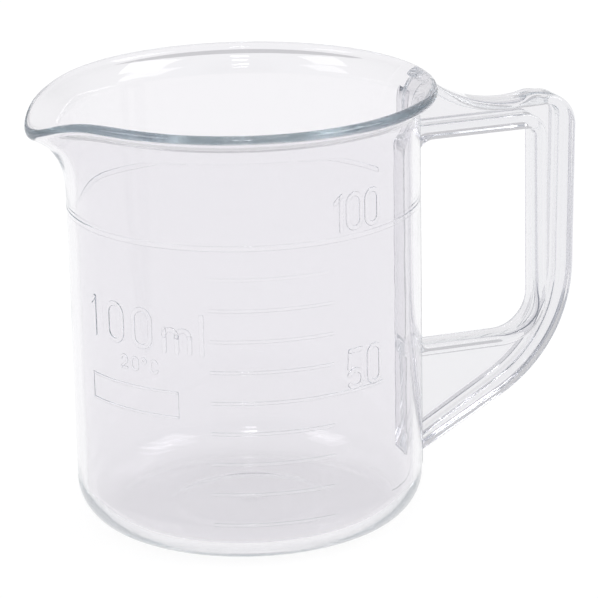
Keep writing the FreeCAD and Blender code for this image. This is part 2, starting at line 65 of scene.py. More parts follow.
def cad_box(node):
    """A CAD node's lowest and highest corner, in millimetres."""
    low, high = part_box(node)
    return [c / MM for c in low], [c / MM for c in high]


# ---------------------------------------------------------------- sizes taken from the frame
WALL_LOW, WALL_HIGH = cad_box("side_wall")
RIM_HIGH = cad_box("rim")[1]
SPOUT_LOW = cad_box("spout")[0]
RAIL_HIGH = cad_box("handle_outer_rail")[1]
INNER_LOW, INNER_HIGH = cad_box("handle_inner_rail")
RIB_LOW, RIB_HIGH = cad_box("handle_root_rib")
PAD_LOW = cad_box("handle_pad")[0]

# ---------------------------------------------------------------- the moulding's own sizes
SKIN = 0.03                  # how far the shown wall stands proud of the frame's, under the marks
WALL = 1.3
FLOOR = 1.8
CORNER = 6.5                 # rounding between the base and the wall, outside
INNER_CORNER = 5.2           # and inside
FOOT_RADIUS = 26.95
TOP_RADIUS = WALL_HIGH[0]
FLARE_START = WALL_HIGH[2]
WALL_START = WALL_LOW[2]
LIP_RADIUS = RIM_HIGH[0]
HEIGHT = RIM_HIGH[2]
BEAD = 0.9                   # radius of the rolled bead round the lip
FLARE_ARC = 4.47             # radius of the flare's curve
BEAD_SWELL = 0.72            # where, up the flare, the wall starts to thicken to the bead
SPOUT_FOOT = SPOUT_LOW[2]
SPOUT_HALF = 48.0            # the spout fades out this far to each side
SPOUT_TIP = -SPOUT_LOW[0] - BEAD
SPOUT_DROOP = 2.9            # how far the spout's tip hangs below the rim
SPOUT_BEND = (0.5, 0.82)     # heights of its curve's two handles, as shares of its rise
SPOUT_LEAN = 1.8             # how far the upper handle leans out
PULL_POWER, DROOP_POWER = 2.5, 4.9   # how sharply the pull and the droop gather at the spout
HANDLE_HALF = RAIL_HIGH[1]
WEB_HALF = 0.8
PAD_HALF = 15.5              # half the raised land's angle
PAD_NARROW = 0.28            # the share it loses over PAD_TAPER, below the rim
PAD_TAPER, PAD_TAPER_START = 5.0, 61.5
PAD_PROUD = 0.25
PAD_EDGE = 0.35
PAD_LOW_RAMP, PAD_TOP_RAMP = 0.4, 1.6
RECESS, RECESS_RADIUS, RECESS_EDGE = 0.12, 12.5, 1.2   # the underside's shallow hollow
GATE, GATE_RADIUS = 0.12, 1.7        # the moulding gate's soft mark inside
AXIS_HOLE = 0.6              # the base's rings stop here, and a fan closes them on the axis


def smoothstep(t):
    """0 up to 0 and 1 from 1, with a soft start and end."""
    t = np.clip(t, 0.0, 1.0)
    return t * t * (3 - 2 * t)


# ---------------------------------------------------------------- mesh helpers
def mesh_piece(name, vertices, faces, sharp=None):
    """A smooth mesh object from points in millimetres."""
    mesh = bpy.data.meshes.new(name)
    mesh.from_pydata([tuple(v) for v in np.asarray(vertices) * MM], [], [tuple(f) for f in faces])
    mesh.validate()
    work = bmesh.new()
    work.from_mesh(mesh)
    bmesh.ops.recalc_face_normals(work, faces=work.faces)
    work.to_mesh(mesh)
    work.free()
    mesh.shade_smooth()
    if sharp is not None:
        mesh.set_sharp_from_angle(angle=math.radians(sharp))
    piece = bpy.data.objects.new(name, mesh)
    bpy.context.scene.collection.objects.link(piece)
    return piece


def tube_faces(rings, count, first=0):
    """Quads between closed rings of count points each, capped at both ends."""
    faces = []
    for i in range(rings - 1):
        for j in range(count):
            k = (j + 1) % count
            a, b = first + i * count, first + (i + 1) * count
            faces.append((a + j, a + k, b + k, b + j))
    faces.append(tuple(first + j for j in range(count))[::-1])
    faces.append(tuple(first + (rings - 1) * count + j for j in range(count)))
    return faces


def settle(piece):
    """Turn a piece's modifiers into its own mesh."""
    graph = bpy.context.evaluated_depsgraph_get()
    mesh = bpy.data.meshes.new_from_object(piece.evaluated_get(graph))
    piece.modifiers.clear()
    piece.data = mesh


def combine(piece, tool, operation):
    """Join or cut one piece with another by an exact boolean, and remove the tool."""
    modifier = piece.modifiers.new("combine", "BOOLEAN")
    modifier.operation = operation
    modifier.solver = "EXACT"
    modifier.object = tool
    settle(piece)
    bpy.data.objects.remove(tool)


def smooth_by_area(piece, sharp=40):
    """Smooth shading that keeps flats flat: each normal follows its largest face."""
    piece.data.shade_smooth()
    piece.data.set_sharp_from_angle(angle=math.radians(sharp))
    modifier = piece.modifiers.new("normals", "WEIGHTED_NORMAL")
    modifier.mode = "FACE_AREA"
    modifier.weight = 100
    modifier.keep_sharp = True
    settle(piece)


# ---------------------------------------------------------------- the cup's profile
def wall_radius(z):
    """Outside radius of the slightly tapered wall at a height."""
    along = (z - WALL_START) / (FLARE_START - WALL_START)
    return FOOT_RADIUS + SKIN + (TOP_RADIUS - FOOT_RADIUS) * along


def wall_middle(t):
    """Middle of wall and flare from the spout's foot (0) to the lip (1), as radius and height."""
    lip_r, lip_z = LIP_RADIUS - BEAD, HEIGHT - BEAD
    straight = FLARE_START - SPOUT_FOOT
    sweep = math.asin((lip_z - FLARE_START) / FLARE_ARC)
    along = t * (straight + FLARE_ARC * sweep)
    start_r = wall_radius(FLARE_START) - WALL / 2
    squeeze = (lip_r - start_r) / (FLARE_ARC * (1 - math.cos(sweep)))
    angle = np.clip(along - straight, 0, None) / FLARE_ARC
    below = along <= straight
    z = np.where(below, SPOUT_FOOT + along, FLARE_START + FLARE_ARC * np.sin(angle))
    r = np.where(below, wall_radius(z) - WALL / 2,
                 start_r + squeeze * FLARE_ARC * (1 - np.cos(angle)))
    return r, z


def spout_middle(t):
    """Middle of the spout's wall in its plane of symmetry, as one cubic curve."""
    foot_r = float(wall_middle(np.array(0.0))[0])
    tip_z = HEIGHT - BEAD - SPOUT_DROOP
    rise = tip_z - SPOUT_FOOT
    lower, upper = (SPOUT_FOOT + share * rise for share in SPOUT_BEND)
    control = [(foot_r, SPOUT_FOOT), (foot_r, lower), (foot_r + SPOUT_LEAN, upper),
               (SPOUT_TIP, tip_z)]
    s = 1 - t
    weights = (s ** 3, 3 * s * s * t, 3 * s * t * t, t ** 3)
    return (sum(w * c[0] for w, c in zip(weights, control)),
            sum(w * c[1] for w, c in zip(weights, control)))


def cup_profile(pull, droop, rows=44, bead_rows=18):
    """The closed wall outline at one azimuth, from the underside's centre round to the floor's."""
    def middle(t):
        plain, pulled = wall_middle(t), spout_middle(t)
        return np.array([plain[0] + (pulled[0] - plain[0]) * pull,
                         plain[1] + (pulled[1] - plain[1]) * droop])

    flat = FOOT_RADIUS + SKIN - CORNER
    turn = np.radians(np.linspace(-90, 0, 22))
    underside = [(r, RECESS * float(smoothstep((RECESS_RADIUS - r) / RECESS_EDGE)))
                 for r in np.linspace(AXIS_HOLE, flat, 22)[:-1]]
    corner = [(flat + CORNER * math.cos(a), CORNER + CORNER * math.sin(a)) for a in turn]
    wall = [(wall_radius(z), z) for z in np.linspace(CORNER, SPOUT_FOOT, 16)[1:-1]]
    nudge = 1e-3
    t = np.linspace(0, 1.0, rows)[:-1]
    here, ahead = middle(t), middle(t + nudge)
    heading = ahead - here
    heading[:, 0] = (0, 1)
    heading /= np.linalg.norm(heading, axis=0)
    half = WALL / 2 + (BEAD - WALL / 2) * smoothstep((t - BEAD_SWELL) / (1 - BEAD_SWELL))
    across = np.array([heading[1], -heading[0]]) * half
    outside = [tuple(p) for p in (here + across).T]
    inside = [tuple(p) for p in (here - across).T][::-1]
    tip, behind = middle(np.array(1.0)), middle(np.array(1 - nudge))
    end = math.degrees(math.atan2(tip[1] - behind[1], tip[0] - behind[0]))
    bead = [(tip[0] + BEAD * math.cos(math.radians(end + a)),
             tip[1] + BEAD * math.sin(math.radians(end + a)))
            for a in np.linspace(-90, 90, bead_rows)]
    inner_wall = [(wall_radius(z) - WALL, z) for z in np.linspace(SPOUT_FOOT, WALL_START, 16)[1:]]
    inner_flat = FOOT_RADIUS + SKIN - WALL - INNER_CORNER
    inner_corner = [(inner_flat + INNER_CORNER * math.cos(a),
                     FLOOR + INNER_CORNER + INNER_CORNER * math.sin(a)) for a in turn[::-1][1:]]
    floor = [(r, FLOOR + GATE * math.exp(-(r / GATE_RADIUS) ** 2))
             for r in np.linspace(inner_flat, AXIS_HOLE, 22)[1:]]
    return np.array(underside + corner + wall + outside + bead + inside + inner_wall
                    + inner_corner + floor)


def with_pad(outline, azimuth, inset=0.0):
    """The outline with the handle's raised land added where the azimuth meets it, then shrunk."""
    top = int(np.argmax(outline[:, 1]))
    outer = outline[:top]
    z = outer[:, 1]
    half_angle = PAD_HALF * (1 - PAD_NARROW * smoothstep((z - PAD_TAPER_START) / PAD_TAPER))
    edge = np.radians(half_angle - abs(azimuth)) * outer[:, 0]
    ends = np.minimum((z - PAD_LOW[2]) / PAD_LOW_RAMP,
                      (HEIGHT - PAD_TOP_RAMP - z) / PAD_TOP_RAMP)
    rise = smoothstep(edge / PAD_EDGE) * smoothstep(ends)
    along = np.gradient(outer, axis=0)
    along /= np.linalg.norm(along, axis=1)[:, None]
    result = outline.copy()
    result[:top, 0] += along[:, 1] * (rise * PAD_PROUD - inset)
    result[:top, 1] -= along[:, 0] * (rise * PAD_PROUD - inset)
    return result


def make_cup(columns=280):
    """Base, side wall, rim, spout and handle pad as one continuous wall."""
    inner_edge, outer_edge = 9.8, 17.2     # the pad's edges run between these azimuths
    edges = np.concatenate([np.linspace(-outer_edge, -inner_edge, 62),
                            np.linspace(inner_edge, outer_edge, 62)])
    azimuths = np.unique(np.round(np.concatenate([np.arange(columns) * 360 / columns - 180,
                                                  edges]), 3))
    columns = len(azimuths)
    rings = []
    for degrees_round in azimuths:
        azimuth = math.radians(degrees_round)
        from_spout = 180 - abs(degrees_round)
        fall = float(smoothstep(1 - from_spout / SPOUT_HALF))
        outline = with_pad(cup_profile(fall ** PULL_POWER, fall ** DROOP_POWER), degrees_round)
        rings.append(np.column_stack([outline[:, 0] * math.cos(azimuth),
                                      outline[:, 0] * math.sin(azimuth), outline[:, 1]]))
    rows = len(rings[0])
    vertices = np.concatenate(rings)
    faces = []
    for i in range(columns):
        a, b = i * rows, ((i + 1) % columns) * rows
        faces.extend((a + j, b + j, b + j + 1, a + j + 1) for j in range(rows - 1))
    vertices = np.concatenate([vertices, [[0, 0, RECESS], [0, 0, FLOOR + GATE]]])
    below, above = len(vertices) - 2, len(vertices) - 1
    for i in range(columns):
        a, b = i * rows, ((i + 1) % columns) * rows
        faces.append((below, b, a))
        faces.append((above, a + rows - 1, b + rows - 1))
    piece = mesh_piece("cup", vertices, faces)
    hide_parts("floor", "base_corner", "side_wall", "rim", "spout", "handle_pad")
    return piece


def cup_envelope(inset, columns=720):
    """The space inside the pad's and cup's outer surface, shrunk by inset, as a closed tool."""
    below, above = 2.0, 3.0                # how far the tool runs past the cup
    outline = with_pad(cup_profile(0.0, 0.0), 0.0, inset)
    top = int(np.argmax(outline[:, 1]))
    outer = outline[:top + 1]
    widest = int(np.argmax(outer[:, 0]))
    outer = outer[:widest + 1]
    body = np.vstack([[outer[0, 0], -below], outer, [outer[-1, 0], HEIGHT + above]])
    rows = len(body)
    vertices, faces = [], []
    for i in range(columns):
        azimuth = 2 * math.pi * i / columns
        vertices.extend((r * math.cos(azimuth), r * math.sin(azimuth), z) for r, z in body)
    for i in range(columns):
        a, b = i * rows, ((i + 1) % columns) * rows
        faces.extend((a + j, b + j, b + j + 1, a + j + 1) for j in range(rows - 1))
    faces.append(tuple(i * rows for i in range(columns))[::-1])
    faces.append(tuple(i * rows + rows - 1 for i in range(columns)))
    return mesh_piece("envelope", vertices, faces)


# ---------------------------------------------------------------- the handle's lines
def arc_points(centre, radius, first, last, count):
    """Points of an arc about a centre, from one angle to another."""
    angles = np.radians(np.linspace(first, last, count))
    return [(centre[0] + radius * math.cos(a), centre[1] + radius * math.sin(a)) for a in angles]


def line_points(start, end, count):
    """Evenly spaced points from start to end."""
    return [tuple(np.array(start) + (np.array(end) - np.array(start)) * t)
            for t in np.linspace(0, 1, count)]


ROOT_X = FOOT_RADIUS - 1.0   # the handle's parts start inside the wall and are cut back to it
DIP = (43.0, 61.76)          # lowest point of the thumb rest
THUMB_RADIUS = 19.6
THUMB_FROM, THUMB_TO, THUMB_TO_INSIDE = 218, 278, 276
THUMB_RAIL = 1.5             # the rail is a little thinner under the thumb rest
GRIP_X = RAIL_HIGH[0]
GRIP_LOW_X = GRIP_X - 0.45   # the grip leans in a little towards its foot
CREST_Z = 62.12
CREST_BULGE = 0.32
OUTER_CORNER, INNER_BEND = 5.2, 1.8
ELBOW, ELBOW_Z = 24.0, 34.6
BRACE, BRACE_INNER = 28.7, 30.6      # the brace's slope outside and inside: it thins to the foot
TOP_RAIL, GRIP_RAIL, BRACE_RAIL = 1.7, 3.15, 3.2
INNER_GRIP = 2.0             # the inner rail's thickness at the grip
GAP_TOP = INNER_HIGH[2] - 2.6
GAP_BOTTOM = INNER_LOW[2] + 1.8
GAP_X = INNER_HIGH[0] - INNER_GRIP
GAP_TOP_CORNER, GAP_CORNER = 1.0, 5.8
FRAME_CORNER = 3.8           # the inner rail's upper corner, on the web's side
RIB_FACE_X = RIB_HIGH[0]
ROOT_TOP_FILLET, ROOT_LOW_FILLET = 2.8, 1.3


def outer_rail_lines():
    """Matching points along the outer rail's outside and inside, from the rim to the cup's foot."""
    centre = (DIP[0], DIP[1] + THUMB_RADIUS)
    thumb_out = arc_points(centre, THUMB_RADIUS, THUMB_FROM, THUMB_TO, 26)
    thumb_in = arc_points(centre, THUMB_RADIUS + THUMB_RAIL, THUMB_FROM, THUMB_TO_INSIDE, 26)
    corner_x = GRIP_X - OUTER_CORNER
    crest_end = (corner_x, CREST_Z)
    crest_out = line_points(thumb_out[-1], crest_end, 8)[1:-1]
    crest_out = [(x, z + CREST_BULGE * math.sin(math.pi * (i + 1) / (len(crest_out) + 1)))
                 for i, (x, z) in enumerate(crest_out)]
    inner_corner = (GRIP_X - GRIP_RAIL - INNER_BEND, CREST_Z - TOP_RAIL - INNER_BEND)
    crest_in = line_points(thumb_in[-1], (inner_corner[0], inner_corner[1] + INNER_BEND), 8)[1:-1]
    bend_out = arc_points((corner_x, CREST_Z - OUTER_CORNER), OUTER_CORNER, 90, 0, 16)
    bend_in = arc_points(inner_corner, INNER_BEND, 90, 0, 16)
    grip_out = line_points(bend_out[-1], (GRIP_LOW_X, ELBOW_Z), 20)[1:-1]
    low_in = (GRIP_LOW_X - BRACE_RAIL, ELBOW_Z)
    grip_in = line_points(bend_in[-1], low_in, 20)[1:-1]
    hub = (GRIP_LOW_X - ELBOW, ELBOW_Z)
    elbow_out = arc_points(hub, ELBOW, 0, BRACE - 90, 20)
    elbow_in = arc_points(hub, ELBOW - BRACE_RAIL, 0, BRACE_INNER - 90, 20)

    def down_to_wall(point, angle):
        return (ROOT_X, point[1] - (point[0] - ROOT_X) * math.tan(math.radians(angle)))

    brace_out = line_points(elbow_out[-1], down_to_wall(elbow_out[-1], BRACE), 16)[1:]
    brace_in = line_points(elbow_in[-1], down_to_wall(elbow_in[-1], BRACE_INNER), 16)[1:]
    return (thumb_out + crest_out + bend_out + grip_out + elbow_out + brace_out,
            thumb_in + crest_in + bend_in + grip_in + elbow_in + brace_in)


def inner_rail_lines():
    """Matching points along the inner rail's outside and its finger gap side, from top to foot."""
    right, top, bottom = INNER_HIGH[0], INNER_HIGH[2], INNER_LOW[2]
    root, bend, gap_bend = ROOT_TOP_FILLET, FRAME_CORNER, GAP_TOP_CORNER
    top_gap = ([(ROOT_X, GAP_TOP - root)]
               + arc_points((RIB_FACE_X + root, GAP_TOP - root), root, 180, 90, 12)
               + line_points((RIB_FACE_X + root, GAP_TOP), (GAP_X - gap_bend, GAP_TOP), 12)[1:])
    top_out = [(x, top) for x, _ in top_gap[:-1]] + [(right - bend, top)]
    bend_out = arc_points((right - bend, top - bend), bend, 90, 0, 12)[1:]
    bend_gap = arc_points((GAP_X - gap_bend, GAP_TOP - gap_bend), gap_bend, 90, 0, 12)[1:]
    hub = (GAP_X - GAP_CORNER, GAP_BOTTOM + GAP_CORNER)
    grip_out = line_points(bend_out[-1], (right, hub[1]), 20)[1:-1]
    grip_gap = line_points(bend_gap[-1], (GAP_X, hub[1]), 20)[1:-1]
    low_out = [(hub[0] + (x - hub[0]) * (right - hub[0]), hub[1] + (z - hub[1]) * (hub[1] - bottom))
               for x, z in arc_points(hub, 1.0, 0, -90, 18)]
    low_gap = arc_points(hub, GAP_CORNER, 0, -90, 18)
    low = ROOT_LOW_FILLET
    foot_gap = (line_points((hub[0], GAP_BOTTOM), (RIB_FACE_X + low, GAP_BOTTOM), 12)
                + arc_points((RIB_FACE_X + low, GAP_BOTTOM + low), low, 270, 180, 10)[1:]
                + [(ROOT_X, GAP_BOTTOM + low)])
    foot_out = [(x, bottom) for x, _ in foot_gap]
    low_out[-1], low_gap[-1] = foot_out[0], foot_gap[0]
    outside = top_out + bend_out + grip_out + low_out + foot_out[1:]
    gap_side = top_gap + bend_gap + grip_gap + low_gap + foot_gap[1:]
    return outside, gap_side


def rounded_section(half_width, thick, radii, corner_rows=6):
    """Points of a rounded rectangle: across in y, and v from the inside face (0) to the outside."""
    points = []
    for (sy, outer, start) in ((1, 1, 0), (-1, 1, 90), (-1, 0, 180), (1, 0, 270)):
        radius = min(radii[0] if outer else radii[1], thick * 0.49, half_width * 0.9)
        cy = sy * (half_width - radius)
        cv = thick - radius if outer else radius
        for a in np.linspace(start, start + 90, corner_rows):
            points.append((cy + radius * math.cos(math.radians(a)),
                           cv + radius * math.sin(math.radians(a))))
    return points


def make_rail(name, lines, half_width, radii):
    """A flange with rounded edges, swept between two matching lines in the handle's plane."""
    outside, inside = (np.array(line) for line in lines)
    vertices, count = [], 0
    for out, inn in zip(outside, inside):
        span = out - inn
        thick = float(np.linalg.norm(span))
        direction = span / thick
        section = rounded_section(half_width, thick, radii)
        count = len(section)
        for y, v in section:
            p = inn + direction * v
            vertices.append((p[0], y, p[1]))
    return mesh_piece(name, vertices, tube_faces(len(outside), count), sharp=60)


def root_rib_lines():
    """Matching points up the wall, behind the rib's face and on it."""
    heights = np.linspace(RIB_LOW[2], RIB_HIGH[2], 30)
    return [(RIB_FACE_X, z) for z in heights], [(ROOT_X, z) for z in heights]


def make_web(sink=0.35, count=90):
    """The thin plate between the rails, its edges sunk into both."""
    far = np.array(outer_rail_lines()[1])
    near = np.array(inner_rail_lines()[0])

    def evenly(points):
        steps = np.concatenate([[0], np.cumsum(np.linalg.norm(np.diff(points, axis=0), axis=1))])
        at = np.linspace(0, steps[-1], count)
        return np.column_stack([np.interp(at, steps, points[:, k]) for k in (0, 1)])

    far, near = evenly(far), evenly(near)
    span = far - near
    span /= np.linalg.norm(span, axis=1)[:, None]
    far, near = far + span * sink, near - span * sink
    vertices = []
    for a, b in zip(far, near):
        vertices.extend([(a[0], -WEB_HALF, a[1]), (a[0], WEB_HALF, a[1]),
                         (b[0], WEB_HALF, b[1]), (b[0], -WEB_HALF, b[1])])
    return mesh_piece("handle_web_plate", vertices, tube_faces(count, 4), sharp=40)


def make_handle():
    """Rails, web and root rib joined as one moulding that ends on the cup's outer surface."""
    outer_edges, inner_edges, rib_edges = (0.9, 0.6), (0.5, 0.9), (0.3, 0.3)
    sunk_in_wall = 0.02
    handle = make_rail("handle", outer_rail_lines(), HANDLE_HALF, outer_edges)
    combine(handle, make_rail("inner", inner_rail_lines(), HANDLE_HALF, inner_edges), "UNION")
    combine(handle, make_rail("rib", root_rib_lines(), HANDLE_HALF, rib_edges), "UNION")
    combine(handle, make_web(), "UNION")
    combine(handle, cup_envelope(sunk_in_wall), "DIFFERENCE")
    smooth_by_area(handle)
    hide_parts("handle_outer_rail", "handle_inner_rail", "handle_web", "handle_root_rib")
    return handle


# ---------------------------------------------------------------- raised marks
RIDGE_SHOULDER = 0.36        # share of a ridge's half width over which it rises to its flat top
RIDGE_SKIRT = 0.02           # its edges start this far under the wall's surface
BIG_STROKE, BIG_PROUD = 0.38, 0.09         # half width and height of the numerals' strokes
FINE_STROKE, FINE_PROUD = 0.2, 0.06        # and of the small print's and the label's
RING_STROKE, RING_PROUD = 0.42, 0.06
LINE_STROKE, LINE_PROUD = 0.26, 0.07
LINE_FADE, LAST_FULL_LINE = 0.014, 6       # the fill lines get fainter above the 60 ml one
RING_ENDS = (16.5, 343.5)                  # the ring line stops at the pad
LINE_START, LINE_END, LONG_LINE_END = -120.0, -80.5, -60.0
LABEL_AZIMUTH, LABEL_Z, LABEL_ANGLE, LABEL_HALF = -149.75, 25.65, 36.5, 1.95
LABEL_WIDTH_Z = 25.6                       # the height where its angle is turned into a width
# Each character: its kind, the azimuth and height of its middle, and its width and height.
NUMBER_100 = (("1", -76.6, 54.2, 2.5, 5.2), ("0", -71.4, 54.2, 2.5, 5.2),
              ("0", -63.9, 54.2, 2.5, 5.2))
NUMBER_50 = (("5", -71.7, 29.7, 2.5, 5.8), ("0", -63.7, 29.7, 2.5, 5.8))
CAPACITY = (("1", -165.5, 37.0, 3.1, 5.8), ("0", -155.2, 37.0, 3.1, 5.8),
            ("0", -143.9, 37.0, 3.1, 5.8), ("m", -131.2, 35.75, 4.1, 3.4),
            ("l", -122.9, 36.9, 3.0, 5.8))
CALIBRATION = (("2", -151.5, 31.2, 1.2, 1.9), ("0", -147.0, 31.2, 1.2, 1.9),
               ("degree", -143.4, 31.9, 0.7, 0.7), ("C", -139.6, 31.2, 1.2, 1.9))


def arc(x, z, radius, first, last, count=14):
    """A character's curved stroke."""
    return arc_points((x, z), radius, first, last, count)


def glyph(kind, wide, high):
    """The strokes of one character as (points, closed), centred on its own middle."""
    w, h = wide / 2, high / 2
    if kind == "0":
        return [(arc(0, h - w, w, 0, 180)[:-1] + line_points((-w, h - w), (-w, w - h), 8)[:-1]
                 + arc(0, w - h, w, 180, 360)[:-1] + line_points((w, w - h), (w, h - w), 8)[:-1],
                 True)]
    if kind == "1":
        return [(line_points((0, -h), (0, h), 10), False),
                (line_points((0, h), (-1, h - 0.9), 5), False)]
    if kind == "2":
        return [(arc(0, h - w, w, 170, -35) + line_points((0.8 * w, h - 1.6 * w), (-w, -h), 8)[1:],
                 False), (line_points((-w, -h), (w, -h), 6), False)]
    if kind == "5":
        bowl = w * 1.08
        return [(line_points((0.9 * w, h), (-0.85 * w, h), 6), False),
                (line_points((-0.85 * w, h), (-w, 0.1 * h), 8), False),
                (arc(-0.08 * w, bowl - h, bowl, 148, -140, 20), False)]
    if kind == "C":
        return [(arc(0, h - w, w, 20, 180)[:-1] + line_points((-w, h - w), (-w, w - h), 6)[:-1]
                 + arc(0, w - h, w, 180, 340), False)]
    if kind == "degree":
        return [(arc(0, 0, w, 0, 360, 17)[:-1], True)]
    if kind == "m":
        bow = w / 2
        return [(line_points((x, -h), (x, top), 10), False)
                for x, top in ((-w, h), (0, h - bow), (w, h - bow))] + \
               [(arc(x, h - bow, bow, 180, 0), False) for x in (-bow, bow)]
    return [(line_points((0, -h), (0, h), 10), False)]      # the letter l


def relief_stroke(points, closed, half_width, proud, deep=0.08, across=13):
    """A low rounded ridge on the wall along points of (arc length, z) at a mean azimuth of 0."""
    path = np.array(points, float)
    if closed:
        ahead = np.roll(path, -1, axis=0) - np.roll(path, 1, axis=0)
        scale = np.ones(len(path))
    else:
        ahead = np.gradient(path, axis=0)
    ahead /= np.linalg.norm(ahead, axis=1)[:, None]
    if not closed:
        turns = np.radians([72, 50, 28])   # three rings round off each end
        start = [path[0] - ahead[0] * half_width * math.sin(a) for a in turns]
        end = [path[-1] + ahead[-1] * half_width * math.sin(a) for a in turns[::-1]]
        path = np.vstack([start, path, end])
        ahead = np.vstack([[ahead[0]] * 3, ahead, [ahead[-1]] * 3])
        scale = np.concatenate([np.cos(turns), np.ones(len(path) - 6), np.cos(turns[::-1])])
    side = np.column_stack([-ahead[:, 1], ahead[:, 0]])
    rings = []
    for p, s, k in zip(path, side, scale):
        steps = np.linspace(-1, 1, across)
        top = [(p + s * half_width * k * v,
                proud * k * float(smoothstep((1 - abs(v)) / RIDGE_SHOULDER)) - RIDGE_SKIRT)
               for v in steps]
        under = [(p + s * half_width * k * v, -deep) for v in steps[::-1]]
        rings.append([(q[0], q[1], height) for q, height in top + under])
    return rings


def make_relief(name, node, strokes, half_width, proud):
    """A mark's ridges wrapped on the wall: each stroke is (azimuth, z, points, closed)."""
    vertices, faces = [], []
    for azimuth, z, points, closed in strokes:
        rings = relief_stroke(points, closed, half_width, proud)
        count, first = len(rings[0]), len(vertices)
        for ring in rings:
            for x, up, height in ring:
                radius = wall_radius(z + up) + height
                angle = math.radians(azimuth) + x / wall_radius(z)
                vertices.append((radius * math.cos(angle), radius * math.sin(angle), z + up))
        if closed:
            total = len(rings)
            for i in range(total):
                a, b = first + i * count, first + ((i + 1) % total) * count
                faces.extend((a + j, a + (j + 1) % count, b + (j + 1) % count, b + j)
                             for j in range(count))
        else:
            faces.extend(tube_faces(len(rings), count, first))
    piece = mesh_piece(name, vertices, faces, sharp=60)
    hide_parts(node)
    return piece


def characters(marks):
    """Strokes of several characters: (kind, azimuth, z, wide, high) for each."""
    return [(azimuth, z, points, closed) for kind, azimuth, z, wide, high in marks
            for points, closed in glyph(kind, wide, high)]


def wall_line(node, start, end):
    """A horizontal stroke at a CAD line's height, between two azimuths."""
    low, high = cad_box(node)
    z = (low[2] + high[2]) / 2
    middle, half = (start + end) / 2, math.radians(end - start) / 2 * wall_radius(z)
    return [(middle, z, line_points((-half, 0), (half, 0), max(8, int(half * 3))), False)]


def label_outline():
    """The four sides of the plain label's frame, centred on its own middle."""
    half = wall_radius(LABEL_WIDTH_Z) * math.radians(LABEL_ANGLE) / 2
    left_low, right_low = (-half, -LABEL_HALF), (half, -LABEL_HALF)
    left_high, right_high = (-half, LABEL_HALF), (half, LABEL_HALF)
    return [(LABEL_AZIMUTH, LABEL_Z, line_points(start, end, 24), False) for start, end in (
        (left_low, right_low), (left_high, right_high),
        (left_low, left_high), (right_low, right_high))]


def make_marks():
    """Fill lines, numerals, capacity and the plain label as soft ridges."""
    made = [make_relief("ring_line", "ring_line_100", wall_line("ring_line_100", *RING_ENDS),
                        RING_STROKE, RING_PROUD)]
    for step in range(1, 10):
        node = "graduation_%d" % (10 * step)
        end = LONG_LINE_END if step == 5 else LINE_END
        proud = LINE_PROUD - LINE_FADE * max(0, step - LAST_FULL_LINE)
        made.append(make_relief("line_%d" % (10 * step), node, wall_line(node, LINE_START, end),
                                LINE_STROKE, proud))
    for name, node, marks, stroke, proud in (
            ("number_100", "numeral_100", NUMBER_100, BIG_STROKE, BIG_PROUD),
            ("number_50", "numeral_50", NUMBER_50, BIG_STROKE, BIG_PROUD),
            ("capacity", "capacity_mark", CAPACITY, BIG_STROKE, BIG_PROUD),
            ("calibration", "calibration_mark", CALIBRATION, FINE_STROKE, FINE_PROUD)):
        made.append(make_relief(name, node, characters(marks), stroke, proud))
    made.append(make_relief("label_frame", "blank_label", label_outline(), FINE_STROKE, FINE_PROUD))
    return made


# ---------------------------------------------------------------- materials
CUP_TINT = (0.898, 0.888, 0.909)
HANDLE_TINT = (0.84, 0.835, 0.855)
NO_TINT = (1.0, 1.0, 1.0)
REFRACTION = 1.46
DEPTH_COLOUR, DEPTH_DENSITY = (0.0, 0.2, 0.27, 1), 4.6     # what long paths through it turn to
FLOW_SCALE, FLOW_DETAIL = 70.0, 2.0                        # the slow waves of the moulded surface
FLOW_STRENGTH, FLOW_DEPTH = 0.06, 0.001
FLOOR_GREY, FLOOR_GLOW = (0.12, 0.12, 0.12, 1), 0.92


def clear_plastic(name, tint):
    """Clear moulded plastic: a faint surface tint, blue-green in depth, and slightly wavy."""
    material = bpy.data.materials.new(name)
    material.use_nodes = True
    nodes, links = material.node_tree.nodes, material.node_tree.links
    shader = nodes["Principled BSDF"]
    shader.inputs["Base Color"].default_value = (*tint, 1)
    shader.inputs["Transmission Weight"].default_value = 1.0
    shader.inputs["IOR"].default_value = REFRACTION
    shader.inputs["Roughness"].default_value = 0.0
    absorb = nodes.new("ShaderNodeVolumeAbsorption")
    absorb.inputs["Color"].default_value = DEPTH_COLOUR
    absorb.inputs["Density"].default_value = DEPTH_DENSITY
    links.new(absorb.outputs[0], nodes["Material Output"].inputs["Volume"])
    place = nodes.new("ShaderNodeTexCoord")
    flow = nodes.new("ShaderNodeTexNoise")
    flow.inputs["Scale"].default_value = FLOW_SCALE
    flow.inputs["Detail"].default_value = FLOW_DETAIL
    links.new(place.outputs["Object"], flow.inputs["Vector"])
    waviness = nodes.new("ShaderNodeBump")
    waviness.inputs["Strength"].default_value = FLOW_STRENGTH
    waviness.inputs["Distance"].default_value = FLOW_DEPTH
    links.new(flow.outputs[0], waviness.inputs["Height"])
    links.new(waviness.outputs[0], shader.inputs["Normal"])
    return material


def floor_material():
    """A plain pale sheet, evenly lit from within like a light table."""
    material = bpy.data.materials.new("pale_floor")
    material.use_nodes = True
    shader = material.node_tree.nodes["Principled BSDF"]
    shader.inputs["Base Color"].default_value = FLOOR_GREY
    shader.inputs["Roughness"].default_value = 0.9
    shader.inputs["Specular IOR Level"].default_value = 0.0
    shader.inputs["Emission Color"].default_value = (1.0, 1.0, 1.0, 1)
    shader.inputs["Emission Strength"].default_value = FLOOR_GLOW
    return material


